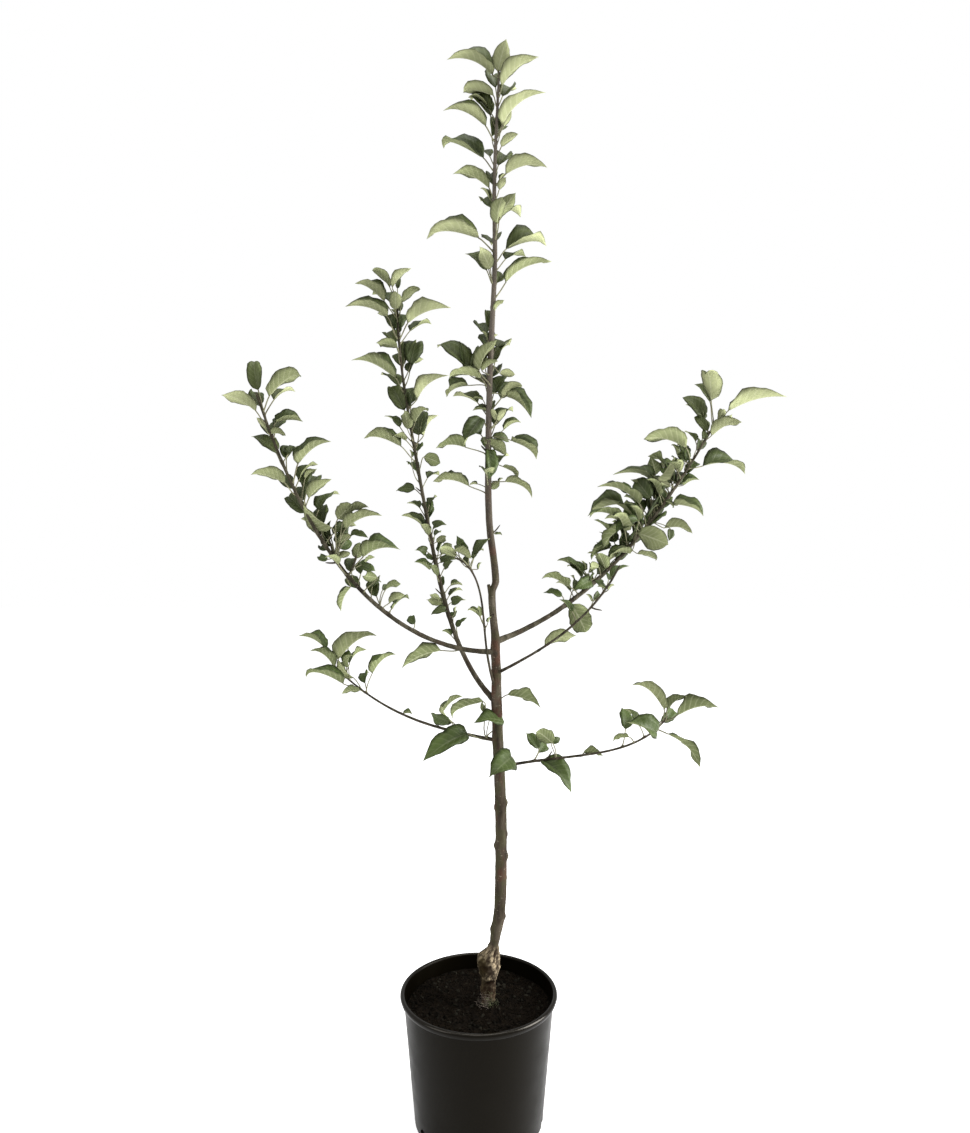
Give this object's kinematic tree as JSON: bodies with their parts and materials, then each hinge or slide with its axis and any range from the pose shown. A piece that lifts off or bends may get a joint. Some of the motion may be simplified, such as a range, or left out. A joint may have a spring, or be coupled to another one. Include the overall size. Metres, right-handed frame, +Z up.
{
  "type": "dwarf apple tree in a pot",
  "caption": "Young dwarf fruit tree with a slim leader, rising side boughs and open leafy tips, standing in a round black nursery pot.",
  "frame": {"origin": "centre of the pot's flat underside, on the surface the plant stands on", "axes": "+Z up along the pot's axis and the leader; -Y towards the viewer of the picture; +X to the viewer's right"},
  "size_m": [0.9756, 0.5243, 1.8539],
  "materials": {
    "pot_plastic": "satin",
    "potting_mix": "matte",
    "bark": "matte",
    "shoot_bark": "satin",
    "leaves": "satin"
  },
  "bodies": {
    "root": {"nursery_pot": "pot_plastic", "potting_mix": "potting_mix", "trunk": "bark", "second_leader": "shoot_bark", "left_bough": "shoot_bark", "right_bough": "shoot_bark", "inner_shoot": "shoot_bark", "under_right_shoot": "shoot_bark", "lower_left_bough": "shoot_bark", "lower_left_bough_outer": "shoot_bark", "lower_right_bough": "shoot_bark", "lower_right_bough_outer": "shoot_bark", "second_leader_foot_leaves": "leaves", "second_leader_spur_leaves": "leaves", "second_leader_middle_leaves": "leaves", "second_leader_upper_leaves": "leaves", "second_leader_tip_leaves": "leaves", "inner_shoot_leaves": "leaves", "left_bough_inner_leaves": "leaves", "left_bough_middle_leaves": "leaves", "left_bough_tip_leaves": "leaves", "right_bough_inner_leaves": "leaves", "right_bough_middle_leaves": "leaves", "right_bough_outer_leaves": "leaves", "right_bough_tip_leaves": "leaves", "under_right_leaves": "leaves", "lower_left_inner_leaves": "leaves", "lower_left_tip_leaves": "leaves", "lower_right_inner_leaves": "leaves", "lower_right_tip_leaves": "leaves", "leader_lower_leaves": "leaves", "leader_cluster_leaves": "leaves", "leader_middle_leaves": "leaves", "leader_upper_leaves": "leaves", "leader_top_leaves": "leaves"}
  },
  "joints": []
}
